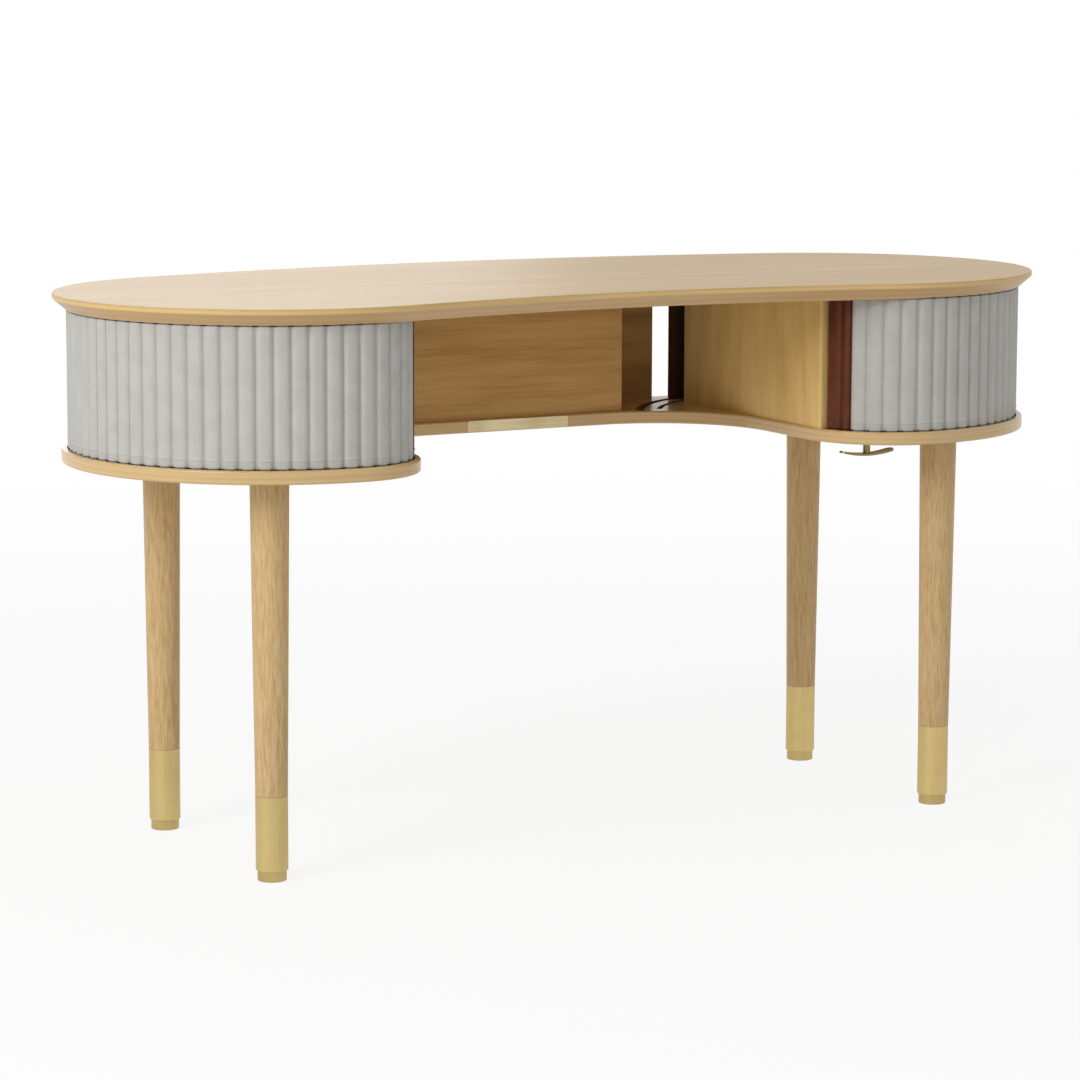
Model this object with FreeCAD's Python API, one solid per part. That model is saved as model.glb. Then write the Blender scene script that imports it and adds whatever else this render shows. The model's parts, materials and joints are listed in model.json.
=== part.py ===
import FreeCAD, Part
import math
import os

# Tambour desk: a kidney-shaped top and a lower shelf with a round pod at each end,
# each pod closed by a curtain of wrapped slats that runs in a groove.
# Millimetres. Origin on the floor under the middle of the top, +X right, +Y rear, +Z up.

# Driving dimensions
HEIGHT = 760.0
POD_X = 438.0
POD_Y = -28.0
TOP_END_RADIUS = 292.0
TOP_REAR_BULGE = 56.0
TOP_FRONT_HOLLOW = 57.0
TOP_THICK = 22.9
TOP_BAND = 6.5
TOP_BEVEL_IN = 19.0
TOP_ARRIS = 2.0

SHELF_TOP = 553.0
SHELF_THICK = 18.0
SHELF_INSET = 10.3
SHELF_ARRIS = 3.0
POD_INNER_X = 310.0
POD_CORNER_RADIUS = 125.0
KNEEHOLE_DEPTH = 408.7
KNEEHOLE_CORNER_RADIUS = 165.0

SLAT_SETBACK = 8.4
SLAT_THICK = 11.0
SLAT_PITCH = 21.99
LEAD_PULL_PITCH = 24.9
PULL_SLAT_PITCH = 12.6
SLAT_BACK_GAP = 0.95
SLAT_FACE_GAP = 1.15
SLAT_LEDGE_OVERLAP = 0.25
SLAT_LEDGE_THICK = 0.8
SLAT_SHOULDER = 2.4
SLAT_COUNT = 50
LEAD_SLATS = 7
PULL_SLATS = 2
CLOSED_ANGLE = -167.6
TRAVEL_ANGLE = 32.0
TONGUE_THICK = 5.0
TONGUE_SHARE = 0.6
GROOVE_WIDTH = 13.0
GROOVE_DEPTH = 8.0
GROOVE_FRONT_SPARE_ANGLE = 1.0
GROOVE_REAR_SPARE_ANGLE = 1.9
GUIDE_INSET = 22.0
GUIDE_WIDTH = 8.0
GUIDE_START_ANGLE = 106.0
GUIDE_STOP_ANGLE = 146.0
CANVAS_THICK = 0.8
CANVAS_MARGIN = 3.0

DIVIDER_THICK = 18.0
DIVIDER_SETBACK = 5.0
DIVIDER_SLAT_GAP = 1.5
DIVIDER_REAR_GAP = 47.0
DIVIDER_NOSE = 4.0
PANEL_THICK = 16.0
PANEL_ARRIS = 1.5
INNER_PANEL_END_GAP = 132.0
INNER_PANEL_SETBACK = 10.0
OUTER_PANEL_END_GAP = 16.4
OUTER_PANEL_SETBACK = 13.7

LEG_END_INSET = 199.1
LEG_FRONT_INSET = 113.7
LEG_REAR_INSET = 93.7
LEG_TOP_DIAMETER = 52.0
FERRULE_DIAMETER = 43.0
FERRULE_TOP = 114.0
FERRULE_WALL = 1.8
FERRULE_ARRIS = 1.2
FOOT_HEIGHT = 14.0
FOOT_DIAMETER = 38.6
FOOT_ARRIS = 1.2
STUD_DIAMETER = 10.0
STUD_LENGTH = 28.0
BOLT_DIAMETER = 8.0
BOLT_IN_LEG = 42.0
INSERT_DIAMETER = 12.0
INSERT_LENGTH = 12.0

PLATE_LENGTH = 162.0
PLATE_HEIGHT = 16.0
PLATE_THICK = 3.0
PLATE_CENTRE_X = 3.0
PLATE_CORNER = 4.0

HOOK_SIDE_INSET = 82.0
HOOK_FRONT_INSET = 101.7
HOOK_DROP = 23.5
HOOK_LENGTH = 88.0
HOOK_WIDTH = 17.0
HOOK_THICK = 3.0
HOOK_BEND = 175.0
HOOK_STEM_DIAMETER = 10.0
HOOK_TENON_DIAMETER = 6.0
HOOK_STEM_IN_SHELF = 9.0

DOWEL_DIAMETER = 8.0
DOWEL_LENGTH = 20.0
DOWEL_END_INSET = 60.0

RUNNING_CLEARANCE = 0.6
FIT_CLEARANCE = 0.3
EDGE_TOLERANCE = 0.01

# Heights, radii and places that follow from them
TOP_UNDER = HEIGHT - TOP_THICK
SHELF_UNDER = SHELF_TOP - SHELF_THICK
SHELF_END_RADIUS = TOP_END_RADIUS - SHELF_INSET
CORNER_X = POD_INNER_X + POD_CORNER_RADIUS
CORNER_Y = POD_Y - math.sqrt((SHELF_END_RADIUS - POD_CORNER_RADIUS) ** 2 - (POD_X - CORNER_X) ** 2)
JUNCTION = math.atan2(CORNER_Y - POD_Y, CORNER_X - POD_X)
KNEEHOLE_Y = POD_Y - SHELF_END_RADIUS + KNEEHOLE_DEPTH
SHELF_REAR_Y = POD_Y + SHELF_END_RADIUS
SLAT_BACK = SLAT_SETBACK + SLAT_THICK
TRACK_END_RADIUS = SHELF_END_RADIUS - SLAT_BACK
TRACK_CORNER_RADIUS = POD_CORNER_RADIUS - SLAT_BACK
LEG_FOOT_RADIUS = FERRULE_DIAMETER / 2
SPIGOT_RADIUS = LEG_FOOT_RADIUS - FERRULE_WALL - FIT_CLEARANCE
TONGUE_REACH = GROOVE_DEPTH - FIT_CLEARANCE
SLAT_FACE_RADIUS = SHELF_END_RADIUS - SLAT_SETBACK
DIVIDER_X = POD_INNER_X + DIVIDER_SETBACK
DIVIDER_FRONT_Y = CORNER_Y + TRACK_CORNER_RADIUS * math.sin(math.radians(CLOSED_ANGLE)) + DIVIDER_SLAT_GAP
DIVIDER_REAR_Y = (POD_Y + math.sqrt(TRACK_END_RADIUS ** 2 - (POD_X - DIVIDER_X - DIVIDER_THICK) ** 2)
                  - DIVIDER_REAR_GAP)
INNER_PANEL_Y = KNEEHOLE_Y + INNER_PANEL_SETBACK
INNER_PANEL_HALF = POD_INNER_X - INNER_PANEL_END_GAP
OUTER_PANEL_Y = SHELF_REAR_Y - OUTER_PANEL_SETBACK - PANEL_THICK
OUTER_PANEL_HALF = POD_X - math.sqrt((SLAT_FACE_RADIUS + OUTER_PANEL_END_GAP) ** 2
                                     - (OUTER_PANEL_Y - POD_Y) ** 2)
LEG_X = POD_X + SHELF_END_RADIUS - LEG_END_INSET
LEG_FRONT_Y = POD_Y - SHELF_END_RADIUS + LEG_FRONT_INSET
LEG_REAR_Y = SHELF_REAR_Y - LEG_REAR_INSET
HOOK_X = POD_INNER_X + HOOK_SIDE_INSET
HOOK_Y = POD_Y - SHELF_END_RADIUS + HOOK_FRONT_INSET


def point(x, y, z=0.0):
    return FreeCAD.Vector(x, y, z)


def polar(cx, cy, radius, angle, z=0.0):
    return point(cx + radius * math.cos(angle), cy + radius * math.sin(angle), z)


def arc(cx, cy, radius, start, end, z=0.0):
    middle = polar(cx, cy, radius, (start + end) / 2, z)
    return Part.Arc(polar(cx, cy, radius, start, z), middle, polar(cx, cy, radius, end, z)).toShape()


def line(a, b):
    return Part.makeLine(a, b)


def block(x0, x1, y0, y1, z0, z1):
    return Part.makeBox(x1 - x0, y1 - y0, z1 - z0, point(x0, y0, z0))


def rod(x, y, radius, z0, z1):
    return Part.makeCylinder(radius, z1 - z0, point(x, y, z0))


def prism(edges, height):
    return Part.Face(Part.Wire(edges)).extrude(point(0, 0, height))


def mirrored(shape):
    return shape.mirror(point(0, 0, 0), point(1, 0, 0))


def round_edges(shape, radius, chosen):
    return shape.makeFillet(radius, [edge for edge in shape.Edges if chosen(edge)])


def at_height(edge, z):
    box = edge.BoundBox
    return abs(box.ZMin - z) < EDGE_TOLERANCE and abs(box.ZMax - z) < EDGE_TOLERANCE


# The top: two end arcs, a bulging rear arc and a hollow front arc, all tangent.
def top_wire(inset, z):
    rear = TOP_END_RADIUS + TOP_REAR_BULGE
    front = TOP_END_RADIUS - TOP_FRONT_HOLLOW
    rear_radius = (POD_X ** 2 + rear ** 2 - TOP_END_RADIUS ** 2) / (2 * (rear - TOP_END_RADIUS))
    front_radius = (POD_X ** 2 + front ** 2 - TOP_END_RADIUS ** 2) / (2 * (TOP_END_RADIUS - front))
    rear_y = POD_Y + rear - rear_radius
    front_y = POD_Y - front - front_radius
    rear_angle = math.atan2(POD_Y - rear_y, POD_X)
    front_angle = math.atan2(POD_Y - front_y, POD_X)
    end = TOP_END_RADIUS - inset
    edges = [
        arc(POD_X, POD_Y, end, front_angle - math.pi, rear_angle, z),
        arc(0, rear_y, rear_radius - inset, rear_angle, math.pi - rear_angle, z),
        arc(-POD_X, POD_Y, end, math.pi - rear_angle, 2 * math.pi - front_angle, z),
        arc(0, front_y, front_radius + inset, math.pi - front_angle, front_angle, z),
    ]
    return Part.Wire(edges)


def make_desktop(grooves, holes):
    band_z = HEIGHT - TOP_BAND
    band = Part.Face(top_wire(0, band_z)).extrude(point(0, 0, TOP_BAND))
    bevel = Part.makeLoft([top_wire(TOP_BEVEL_IN, TOP_UNDER), top_wire(0, band_z)], True, True)
    body = round_edges(band.fuse(bevel), TOP_ARRIS, lambda edge: at_height(edge, HEIGHT))
    for tool in grooves + holes:
        body = body.cut(tool)
    return body


# The shelf: a round pod at each end joined behind the kneehole.
def shelf_half(z):
    corner_start = point(POD_INNER_X, CORNER_Y, z)
    inner_y = KNEEHOLE_Y - KNEEHOLE_CORNER_RADIUS
    hollow_x = POD_INNER_X - KNEEHOLE_CORNER_RADIUS
    return [
        line(point(0, KNEEHOLE_Y, z), point(hollow_x, KNEEHOLE_Y, z)),
        arc(hollow_x, inner_y, KNEEHOLE_CORNER_RADIUS, math.pi / 2, 0, z),
        line(point(POD_INNER_X, inner_y, z), corner_start),
        arc(CORNER_X, CORNER_Y, POD_CORNER_RADIUS, -math.pi, JUNCTION, z),
        arc(POD_X, POD_Y, SHELF_END_RADIUS, JUNCTION, math.pi / 2, z),
        line(point(POD_X, SHELF_REAR_Y, z), point(0, SHELF_REAR_Y, z)),
    ]


def make_shelf(grooves, holes):
    half = prism(shelf_half(SHELF_UNDER) + [line(point(0, SHELF_REAR_Y, SHELF_UNDER),
                                                 point(0, KNEEHOLE_Y, SHELF_UNDER))], SHELF_THICK)
    body = half.fuse(mirrored(half)).removeSplitter()
    body = round_edges(body, SHELF_ARRIS,
                       lambda edge: at_height(edge, SHELF_TOP) or at_height(edge, SHELF_UNDER))
    for tool in grooves + holes:
        body = body.cut(tool)
    return body


# The groove: one band along the pod corner and the end circle, closed by half-round ends.
def groove(z, height):
    middle = SLAT_THICK / 2
    half = GROOVE_WIDTH / 2
    start = math.radians(CLOSED_ANGLE - GROOVE_FRONT_SPARE_ANGLE)
    stop = rear_angle() + math.radians(TRAVEL_ANGLE + GROOVE_REAR_SPARE_ANGLE)
    corner = TRACK_CORNER_RADIUS + middle
    end = TRACK_END_RADIUS + middle
    start_cap = polar(CORNER_X, CORNER_Y, corner, start, z)
    stop_cap = polar(POD_X, POD_Y, end, stop, z)
    edges = [
        arc(CORNER_X, CORNER_Y, corner + half, start, JUNCTION, z),
        arc(POD_X, POD_Y, end + half, JUNCTION, stop, z),
        arc(stop_cap.x, stop_cap.y, half, stop, stop + math.pi, z),
        arc(POD_X, POD_Y, end - half, stop, JUNCTION, z),
        arc(CORNER_X, CORNER_Y, corner - half, JUNCTION, start, z),
        arc(start_cap.x, start_cap.y, half, start + math.pi, start + 2 * math.pi, z),
    ]
    return prism(edges, height)


# The guide: a short narrow groove in the shelf, inside the track and behind the divider.
def guide(z, height):
    radius = TRACK_END_RADIUS - GUIDE_INSET
    half = GUIDE_WIDTH / 2
    start = math.radians(GUIDE_START_ANGLE)
    stop = math.radians(GUIDE_STOP_ANGLE)
    start_cap = polar(POD_X, POD_Y, radius, start, z)
    stop_cap = polar(POD_X, POD_Y, radius, stop, z)
    edges = [
        arc(POD_X, POD_Y, radius + half, start, stop, z),
        arc(stop_cap.x, stop_cap.y, half, stop, stop + math.pi, z),
        arc(POD_X, POD_Y, radius - half, stop, start, z),
        arc(start_cap.x, start_cap.y, half, start + math.pi, start + 2 * math.pi, z),
    ]
    return prism(edges, height)


# Places along the track: s is the length of canvas ahead of the junction of the two arcs.
def track_pose(s):
    if s > 0:
        angle = JUNCTION - s / TRACK_CORNER_RADIUS
        return polar(CORNER_X, CORNER_Y, TRACK_CORNER_RADIUS, angle), angle
    angle = JUNCTION - s / TRACK_END_RADIUS
    return polar(POD_X, POD_Y, TRACK_END_RADIUS, angle), angle


def front_length():
    return TRACK_CORNER_RADIUS * (JUNCTION - math.radians(CLOSED_ANGLE))


# A pull at each end of the curtain with grey slats between. The front pull has a wide slat and a narrow one.
def slat_pitches():
    return [LEAD_PULL_PITCH, PULL_SLAT_PITCH] + [SLAT_PITCH] * (SLAT_COUNT - PULL_SLATS)


def rear_angle():
    return JUNCTION + (sum(slat_pitches()) - front_length()) / TRACK_END_RADIUS


# One slat, its back on the canvas at x = 0 and its face toward +X. A ledge below the
# rounded shoulders nearly meets the next slat's and closes the view between them.
def make_slat(pitch):
    low = SHELF_TOP + RUNNING_CLEARANCE
    high = TOP_UNDER - RUNNING_CLEARANCE
    back = (pitch - SLAT_BACK_GAP) / 2
    ledge = (pitch + SLAT_LEDGE_OVERLAP) / 2
    cap = (pitch - SLAT_FACE_GAP) / 2
    shoulder_y = cap - SLAT_SHOULDER
    ledge_x = SLAT_THICK - SLAT_SHOULDER
    edges = [
        line(point(0, back, low), point(0, -back, low)),
        line(point(0, -back, low), point(ledge_x - SLAT_LEDGE_THICK, -ledge, low)),
        line(point(ledge_x - SLAT_LEDGE_THICK, -ledge, low), point(ledge_x, -ledge, low)),
        line(point(ledge_x, -ledge, low), point(ledge_x, -cap, low)),
        arc(ledge_x, -shoulder_y, SLAT_SHOULDER, -math.pi / 2, 0, low),
        line(point(SLAT_THICK, -shoulder_y, low), point(SLAT_THICK, shoulder_y, low)),
        arc(ledge_x, shoulder_y, SLAT_SHOULDER, 0, math.pi / 2, low),
        line(point(ledge_x, cap, low), point(ledge_x, ledge, low)),
        line(point(ledge_x, ledge, low), point(ledge_x - SLAT_LEDGE_THICK, ledge, low)),
        line(point(ledge_x - SLAT_LEDGE_THICK, ledge, low), point(0, back, low)),
    ]
    body = prism(edges, high - low)
    near = (SLAT_THICK - TONGUE_THICK) / 2
    tongue = block(near, near + TONGUE_THICK, -pitch * TONGUE_SHARE / 2, pitch * TONGUE_SHARE / 2,
                   SHELF_TOP - TONGUE_REACH, TOP_UNDER + TONGUE_REACH)
    return body.fuse(tongue).removeSplitter()


def placed_slat(number):
    pitches = slat_pitches()
    pitch = pitches[number - 1]
    place, angle = track_pose(front_length() - sum(pitches[:number - 1]) - pitch / 2)
    slat = make_slat(pitch)
    slat.Placement = FreeCAD.Placement(place, FreeCAD.Rotation(point(0, 0, 1), math.degrees(angle)))
    return slat


def make_canvas():
    start = JUNCTION - (front_length() - sum(slat_pitches()[:LEAD_SLATS])) / TRACK_END_RADIUS
    stop = rear_angle()
    z = SHELF_TOP + CANVAS_MARGIN
    outer = TRACK_END_RADIUS - FIT_CLEARANCE
    inner = outer - CANVAS_THICK
    edges = [
        arc(POD_X, POD_Y, outer, start, stop, z),
        line(polar(POD_X, POD_Y, outer, stop, z), polar(POD_X, POD_Y, inner, stop, z)),
        arc(POD_X, POD_Y, inner, stop, start, z),
        line(polar(POD_X, POD_Y, inner, start, z), polar(POD_X, POD_Y, outer, start, z)),
    ]
    return prism(edges, TOP_UNDER - CANVAS_MARGIN - z)


# Uprights between shelf and top
def make_divider(holes):
    board = block(DIVIDER_X, DIVIDER_X + DIVIDER_THICK, DIVIDER_FRONT_Y, DIVIDER_REAR_Y, SHELF_TOP, TOP_UNDER)
    board = round_edges(board, DIVIDER_NOSE, lambda edge: edge.BoundBox.ZLength > DIVIDER_THICK * 2
                        and edge.BoundBox.YMax < DIVIDER_FRONT_Y + EDGE_TOLERANCE)
    return cut_all(board, holes)


def make_panel(half, front_y, holes):
    board = block(-half, half, front_y, front_y + PANEL_THICK, SHELF_TOP, TOP_UNDER)
    board = round_edges(board, PANEL_ARRIS, lambda edge: edge.BoundBox.ZLength > PANEL_THICK * 2)
    return cut_all(board, holes)


def cut_all(shape, tools):
    for tool in tools:
        shape = shape.cut(tool)
    return shape


def dowel_places():
    divider_middle = DIVIDER_X + DIVIDER_THICK / 2
    places = []
    for side in (-1, 1):
        places.append((side * (INNER_PANEL_HALF - DOWEL_END_INSET), INNER_PANEL_Y + PANEL_THICK / 2))
        places.append((side * (OUTER_PANEL_HALF - DOWEL_END_INSET), OUTER_PANEL_Y + PANEL_THICK / 2))
        places.append((side * divider_middle, DIVIDER_FRONT_Y + DOWEL_END_INSET))
        places.append((side * divider_middle, DIVIDER_REAR_Y - DOWEL_END_INSET))
    return places


def dowels(clearance):
    rods = []
    reach = DOWEL_LENGTH / 2 + clearance
    for x, y in dowel_places():
        for z in (SHELF_TOP, TOP_UNDER):
            rods.append(rod(x, y, DOWEL_DIAMETER / 2 + clearance, z - reach, z + reach))
    return rods


# Legs, ferrules and feet stand on one vertical axis each.
def leg_places():
    return {
        "left_front": (-LEG_X, LEG_FRONT_Y),
        "right_front": (LEG_X, LEG_FRONT_Y),
        "left_rear": (-LEG_X, LEG_REAR_Y),
        "right_rear": (LEG_X, LEG_REAR_Y),
    }


def make_leg(x, y):
    shaft = Part.makeCone(LEG_FOOT_RADIUS, LEG_TOP_DIAMETER / 2, SHELF_UNDER - FERRULE_TOP,
                          point(x, y, FERRULE_TOP))
    spigot_z = FOOT_HEIGHT + FERRULE_WALL + FIT_CLEARANCE
    spigot = rod(x, y, SPIGOT_RADIUS, spigot_z, FERRULE_TOP)
    stud_end = FOOT_HEIGHT + STUD_LENGTH + FIT_CLEARANCE
    stud_hole = rod(x, y, STUD_DIAMETER / 2 + FIT_CLEARANCE, spigot_z, stud_end)
    bolt_end = SHELF_UNDER - BOLT_IN_LEG - FIT_CLEARANCE
    bolt_hole = rod(x, y, BOLT_DIAMETER / 2 + FIT_CLEARANCE, bolt_end, SHELF_UNDER)
    return shaft.fuse(spigot).cut(stud_hole).cut(bolt_hole)


def make_ferrule(x, y):
    sleeve = rod(x, y, FERRULE_DIAMETER / 2, FOOT_HEIGHT, FERRULE_TOP - FIT_CLEARANCE)
    sleeve = round_edges(sleeve, FERRULE_ARRIS, lambda edge: at_height(edge, FOOT_HEIGHT))
    bore = rod(x, y, FERRULE_DIAMETER / 2 - FERRULE_WALL, FOOT_HEIGHT + FERRULE_WALL, FERRULE_TOP)
    stud_hole = rod(x, y, STUD_DIAMETER / 2 + FIT_CLEARANCE, 0, FERRULE_TOP)
    return sleeve.cut(bore).cut(stud_hole)


def make_foot(x, y):
    disc = rod(x, y, FOOT_DIAMETER / 2, 0, FOOT_HEIGHT)
    disc = round_edges(disc, FOOT_ARRIS, lambda edge: at_height(edge, 0))
    return disc.fuse(rod(x, y, STUD_DIAMETER / 2, FOOT_HEIGHT, FOOT_HEIGHT + STUD_LENGTH))


def make_bolt(x, y):
    return rod(x, y, BOLT_DIAMETER / 2, SHELF_UNDER - BOLT_IN_LEG, SHELF_UNDER + INSERT_LENGTH)


def make_insert(x, y):
    outer = rod(x, y, INSERT_DIAMETER / 2, SHELF_UNDER, SHELF_UNDER + INSERT_LENGTH)
    return outer.cut(rod(x, y, BOLT_DIAMETER / 2 + FIT_CLEARANCE, SHELF_UNDER, SHELF_UNDER + INSERT_LENGTH))


def insert_holes():
    radius = INSERT_DIAMETER / 2 + FIT_CLEARANCE
    reach = SHELF_UNDER + INSERT_LENGTH + FIT_CLEARANCE
    return [rod(x, y, radius, SHELF_UNDER, reach) for x, y in leg_places().values()]


# The edge plate is let flush into the kneehole edge of the shelf.
def plate_block(grow, depth):
    half = PLATE_LENGTH / 2 + grow
    low = SHELF_UNDER + (SHELF_THICK - PLATE_HEIGHT) / 2 - grow
    plate = block(PLATE_CENTRE_X - half, PLATE_CENTRE_X + half, KNEEHOLE_Y, KNEEHOLE_Y + depth,
                  low, low + PLATE_HEIGHT + 2 * grow)
    return round_edges(plate, PLATE_CORNER + grow, lambda edge: edge.BoundBox.YLength > depth - EDGE_TOLERANCE
                       and max(edge.BoundBox.XLength, edge.BoundBox.ZLength) < EDGE_TOLERANCE)


# The hook under the right pod: a strip bent to a shallow bow on a round stem.
def hook_strip_centre_z():
    return SHELF_UNDER - HOOK_DROP + HOOK_BEND


def make_hook_bar():
    sweep = HOOK_LENGTH / 2 / HOOK_BEND
    inner = HOOK_BEND - HOOK_THICK
    z = hook_strip_centre_z()

    def spot(radius, angle):
        return point(HOOK_X + radius * math.sin(angle), HOOK_Y - HOOK_WIDTH / 2, z - radius * math.cos(angle))

    edges = [
        Part.Arc(spot(HOOK_BEND, -sweep), spot(HOOK_BEND, 0), spot(HOOK_BEND, sweep)).toShape(),
        line(spot(HOOK_BEND, sweep), spot(inner, sweep)),
        Part.Arc(spot(inner, sweep), spot(inner, 0), spot(inner, -sweep)).toShape(),
        line(spot(inner, -sweep), spot(HOOK_BEND, -sweep)),
    ]
    strip = Part.Face(Part.Wire(edges)).extrude(point(0, HOOK_WIDTH, 0))
    strip = round_edges(strip, HOOK_WIDTH / 2 - FIT_CLEARANCE,
                        lambda edge: edge.Length < HOOK_THICK + EDGE_TOLERANCE)
    return strip.cut(rod(HOOK_X, HOOK_Y, HOOK_TENON_DIAMETER / 2 + FIT_CLEARANCE, 0, SHELF_UNDER))


def make_hook_stem():
    bar_low = SHELF_UNDER - HOOK_DROP
    shoulder = bar_low + HOOK_THICK + FIT_CLEARANCE
    stem = rod(HOOK_X, HOOK_Y, HOOK_STEM_DIAMETER / 2, shoulder, SHELF_UNDER + HOOK_STEM_IN_SHELF)
    return stem.fuse(rod(HOOK_X, HOOK_Y, HOOK_TENON_DIAMETER / 2, bar_low + FIT_CLEARANCE, shoulder))


def hook_hole():
    return rod(HOOK_X, HOOK_Y, HOOK_STEM_DIAMETER / 2 + FIT_CLEARANCE,
               SHELF_UNDER, SHELF_UNDER + HOOK_STEM_IN_SHELF + FIT_CLEARANCE)


def save(node, shapes):
    shape = shapes[0] if len(shapes) == 1 else Part.makeCompound(shapes)
    shape.exportStep("parts/" + node + ".step")
    box = shape.BoundBox
    print(node, len(shape.Solids), shape.isValid(),
          [round(v, 1) for v in (box.XMin, box.XMax, box.YMin, box.YMax, box.ZMin, box.ZMax)])


os.makedirs("parts", exist_ok=True)

shelf_groove = groove(SHELF_TOP - GROOVE_DEPTH, GROOVE_DEPTH)
shelf_guide = guide(SHELF_TOP - GROOVE_DEPTH, GROOVE_DEPTH)
top_groove = groove(TOP_UNDER, GROOVE_DEPTH)
dowel_holes = dowels(FIT_CLEARANCE)

save("desktop", [make_desktop([top_groove, mirrored(top_groove)], dowel_holes)])
plate_pocket = plate_block(FIT_CLEARANCE, PLATE_THICK + FIT_CLEARANCE)
shelf_grooves = [shelf_groove, mirrored(shelf_groove), shelf_guide, mirrored(shelf_guide)]
save("shelf", [make_shelf(shelf_grooves, dowel_holes + insert_holes() + [hook_hole(), plate_pocket])])
divider = make_divider(dowel_holes)
save("right_divider", [divider])
save("left_divider", [mirrored(divider)])
save("inner_back_panel", [make_panel(INNER_PANEL_HALF, INNER_PANEL_Y, dowel_holes)])
save("outer_back_panel", [make_panel(OUTER_PANEL_HALF, OUTER_PANEL_Y, dowel_holes)])
save("panel_dowels", dowels(0))
save("edge_plate", [plate_block(0, PLATE_THICK)])
save("hook_bar", [make_hook_bar()])
save("hook_stem", [make_hook_stem()])

for name, (leg_x, leg_y) in leg_places().items():
    save(name + "_leg", [make_leg(leg_x, leg_y)])
    save(name + "_ferrule", [make_ferrule(leg_x, leg_y)])
    save(name + "_foot", [make_foot(leg_x, leg_y)])
save("leg_bolts", [make_bolt(x, y) for x, y in leg_places().values()])
save("leg_inserts", [make_insert(x, y) for x, y in leg_places().values()])

canvas = make_canvas()
first_pull = SLAT_COUNT - PULL_SLATS + 1
slats = {number: placed_slat(number) for number in range(1, SLAT_COUNT + 1)}
for side, hand in (("right", lambda shape: shape), ("left", mirrored)):
    for number in range(1, LEAD_SLATS + 1):
        save(side + "_lead_slat_" + str(number), [hand(slats[number])])
    save(side + "_tambour_slats", [hand(slats[number]) for number in range(LEAD_SLATS + 1, first_pull)])
    save(side + "_rear_pull_slats", [hand(slats[number]) for number in range(first_pull, SLAT_COUNT + 1)])
    save(side + "_tambour_canvas", [hand(canvas)])
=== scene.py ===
# %% [markdown]
# # A tambour desk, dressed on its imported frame
# The frame carries every solid of the desk at its real size and place: boards, legs, brass and slats.
# This lesson gives the frame its finishes, wraps the slats in leather, and sets the studio around them.

import json
import math

import bmesh
import bpy
import numpy as np
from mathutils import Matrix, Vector


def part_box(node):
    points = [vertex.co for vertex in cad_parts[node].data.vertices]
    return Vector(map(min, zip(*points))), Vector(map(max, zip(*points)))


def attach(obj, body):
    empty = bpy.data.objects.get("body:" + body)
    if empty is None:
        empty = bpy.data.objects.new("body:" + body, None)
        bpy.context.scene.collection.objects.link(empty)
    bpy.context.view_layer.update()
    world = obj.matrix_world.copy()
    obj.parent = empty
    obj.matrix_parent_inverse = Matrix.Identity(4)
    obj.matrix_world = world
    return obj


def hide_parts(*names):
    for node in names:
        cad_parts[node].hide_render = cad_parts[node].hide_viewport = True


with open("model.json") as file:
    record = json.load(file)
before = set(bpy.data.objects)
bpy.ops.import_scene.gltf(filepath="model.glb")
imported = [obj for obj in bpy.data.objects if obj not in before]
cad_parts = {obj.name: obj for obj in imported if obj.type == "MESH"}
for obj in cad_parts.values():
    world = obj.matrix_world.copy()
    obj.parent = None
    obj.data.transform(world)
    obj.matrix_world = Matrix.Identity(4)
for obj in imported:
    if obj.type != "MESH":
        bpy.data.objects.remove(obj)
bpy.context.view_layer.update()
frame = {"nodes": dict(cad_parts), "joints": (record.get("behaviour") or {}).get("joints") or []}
nodes = frame["nodes"]

# %% [markdown]
# ## Places read from the frame
# The tambours run on a circle at each end of the desk, and then round a tighter corner to the kneehole.
# The hinge of each curtain stands on the axis of that circle, so its joint gives the centre. The slat
# pitches and the radii are the desk's own sizes, in metres.

# %% Track sizes
joint_places = {joint["name"]: joint["pos_m"] for joint in frame["joints"]}
pod_x, pod_y = joint_places["right_tambour"][:2]
shelf_low, shelf_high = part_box("shelf")
top_low, top_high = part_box("desktop")

SLAT_PITCH = 0.02199
LEAD_PULL_PITCH = 0.0249
PULL_SLAT_PITCH = 0.0126
SLAT_COUNT = 50
LEAD_SLATS = 7
PULL_SLATS = 2
SLAT_FACE_INSET = 0.0084
SLAT_THICK = 0.011
CORNER_RADIUS = 0.125
POD_INNER_X = 0.310
CLOSED_ANGLE = math.radians(-167.6)

shelf_end_radius = shelf_high.x - pod_x
slat_back = SLAT_FACE_INSET + SLAT_THICK
track_radius = shelf_end_radius - slat_back
track_corner = CORNER_RADIUS - slat_back
corner_x = POD_INNER_X + CORNER_RADIUS
corner_y = pod_y - math.sqrt((shelf_end_radius - CORNER_RADIUS) ** 2 - (pod_x - corner_x) ** 2)
junction = math.atan2(corner_y - pod_y, corner_x - pod_x)
front_length = track_corner * (junction - CLOSED_ANGLE)
pitches = [LEAD_PULL_PITCH, PULL_SLAT_PITCH] + [SLAT_PITCH] * (SLAT_COUNT - PULL_SLATS)
print("track: end circle %.3f m, corner %.3f m" % (track_radius, track_corner))

# %% [markdown]
# ## The camera
# The photograph was taken from the left front, a little above the top, with a long lens. A yaw, a pitch
# and a small roll turn the camera, and its place is in the frame's metres.

# %% Camera
CAMERA_PLACE = Vector((-2.6561, -4.8635, 1.2049))
CAMERA_YAW = math.radians(28.503)
CAMERA_PITCH = math.radians(8.361)
CAMERA_ROLL = math.radians(0.165)
CAMERA_LENS = 132.93
SENSOR_WIDTH = 36.0
FARTHEST_SEEN = 200.0


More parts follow.
